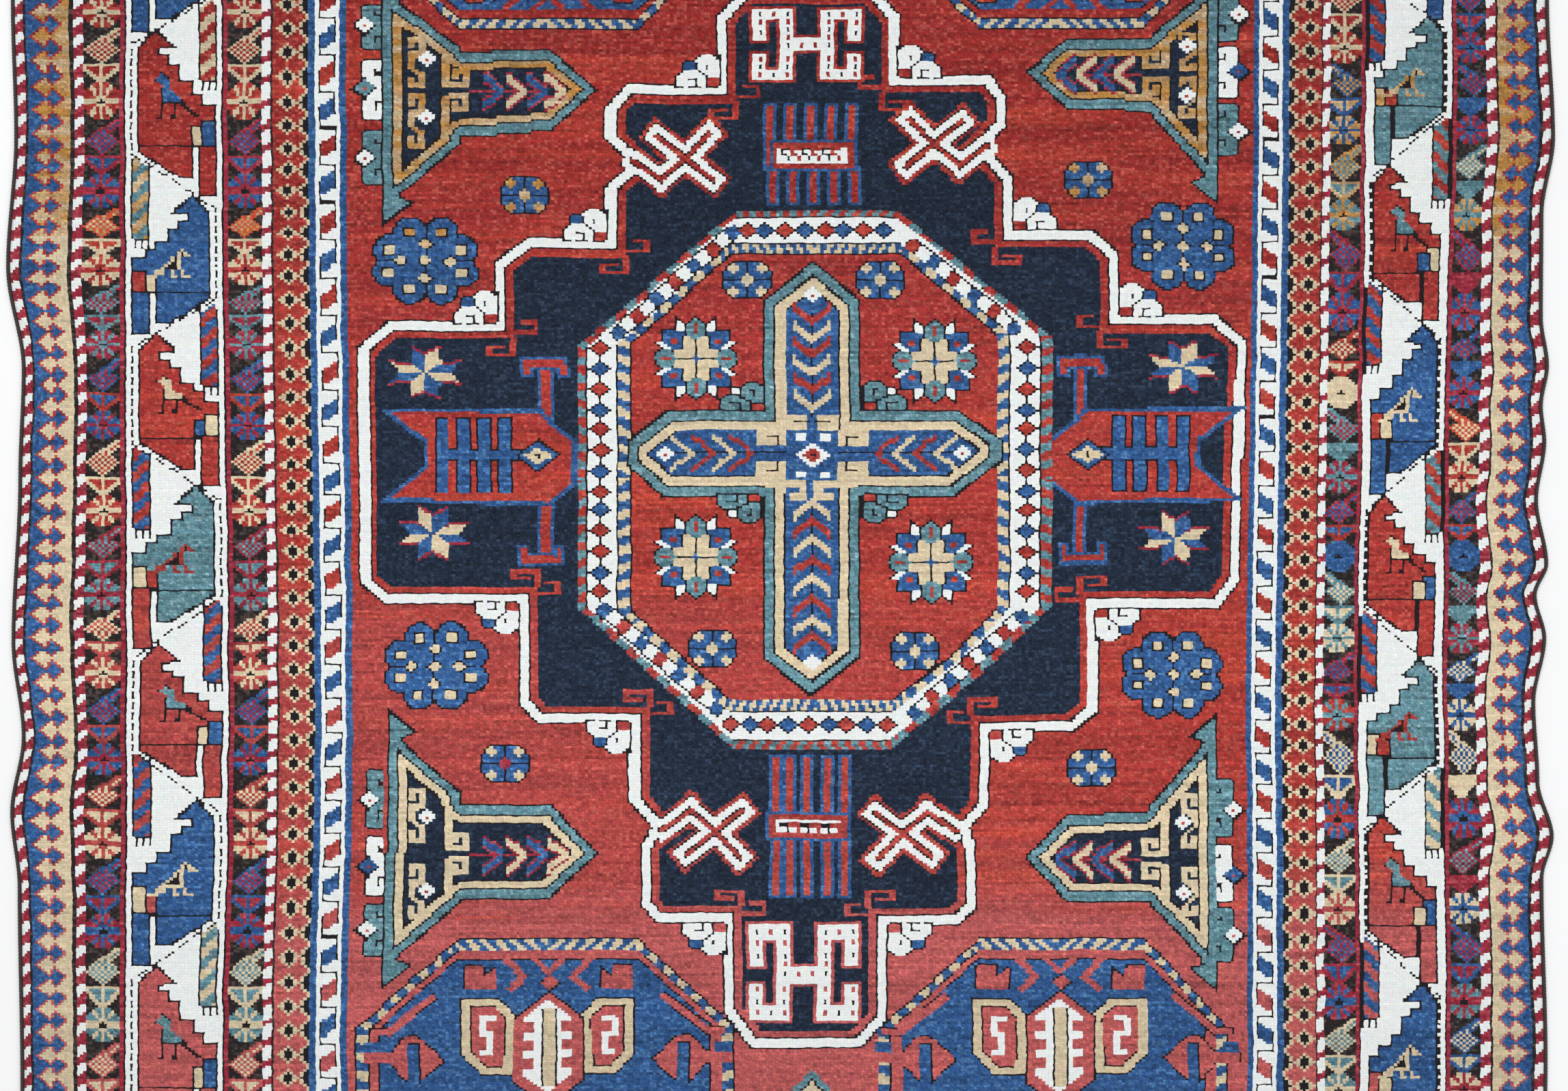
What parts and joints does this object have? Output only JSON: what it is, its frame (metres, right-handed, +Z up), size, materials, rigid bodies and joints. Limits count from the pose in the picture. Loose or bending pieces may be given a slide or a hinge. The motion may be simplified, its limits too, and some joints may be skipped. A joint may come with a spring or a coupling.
{
  "type": "caucasian rug",
  "caption": "Hand-knotted wool rug of Caucasian village design, lying flat, with gently wavy overcast sides and narrow plain-woven ends.",
  "frame": {"origin": "under the middle of the rug, on the surface it lies on", "axes": "+Y along the rug's length, +X across it towards its right side, +Z up out of the pile"},
  "size_m": [1.4842, 2.33, 0.007],
  "materials": {
    "pile": "lustrous knotted wool pile in madder red, navy, mid blue, teal, cream, gold, white and dark brown",
    "selvedge": "dark-brown wool, overcast"
  },
  "bodies": {
    "root": {"rug": "pile", "selvedge_left": "selvedge", "selvedge_right": "selvedge"}
  },
  "joints": []
}
